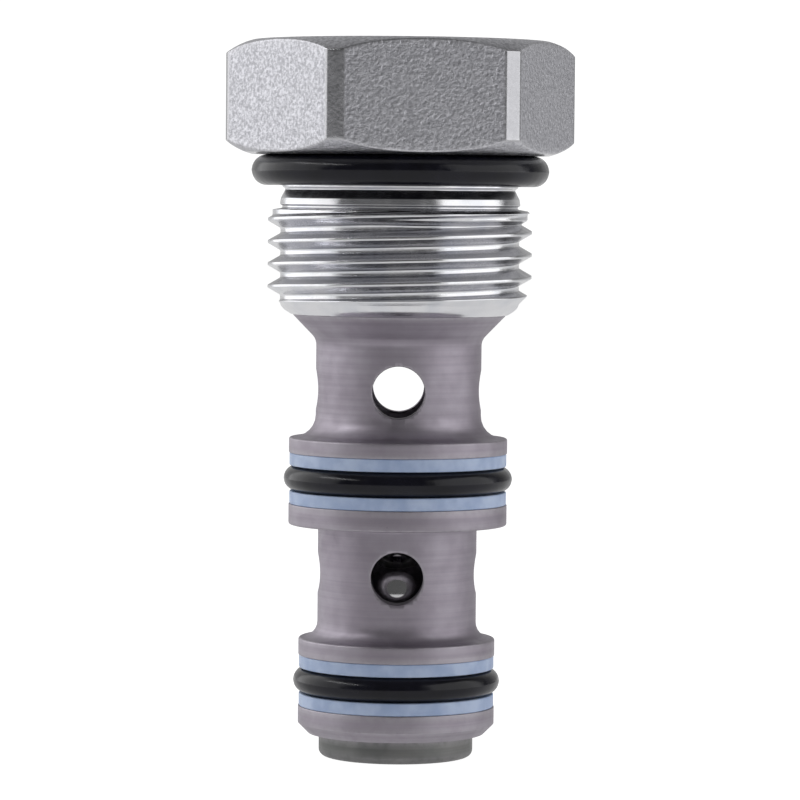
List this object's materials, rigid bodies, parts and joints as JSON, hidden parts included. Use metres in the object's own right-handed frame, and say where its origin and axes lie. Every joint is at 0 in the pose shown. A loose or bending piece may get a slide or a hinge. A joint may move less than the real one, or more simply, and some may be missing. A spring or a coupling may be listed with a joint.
{
  "type": "shuttle cartridge valve",
  "caption": "Screw-in hydraulic cartridge valve with a hexagon head, sealed lands, cross-hole ports, an open nose port and a free shuttle ball inside.",
  "frame": {"origin": "centre of the nose's flat end, on the cartridge's axis; the cartridge stands on its nose", "axes": "+Z along the cartridge's axis, from the nose up to the hexagon head; the two larger cross holes open along -Y and +Y, the two smaller along -X and +X"},
  "size_m": [0.0248, 0.0236, 0.0511],
  "materials": {
    "zinc_plate": "zinc plate: tumbled and grainy on the flats, bright on the thread",
    "cage_steel": "fine-turned satin steel",
    "seat_steel": "dull hardened steel",
    "ball_steel": "polished bearing steel",
    "nitrile": "semi-gloss moulded rubber, lightly oiled",
    "backup_plastic": "pale blue waxy plastic"
  },
  "bodies": {
    "housing": {"head_adapter": "zinc_plate", "head_o_ring": "nitrile", "cage": "cage_steel", "upper_o_ring": "nitrile", "upper_backup_ring_top": "backup_plastic", "upper_backup_ring_bottom": "backup_plastic", "lower_o_ring": "nitrile", "lower_backup_ring_top": "backup_plastic", "lower_backup_ring_bottom": "backup_plastic", "upper_seat": "seat_steel", "nose_seat": "seat_steel"},
    "ball": {"ball": "ball_steel"}
  },
  "joints": [
    {"name": "ball_shuttle", "type": "slide", "parent": "housing", "child": "ball", "axis": [0, 0, 1], "range_m": [0, 0.0029]}
  ]
}
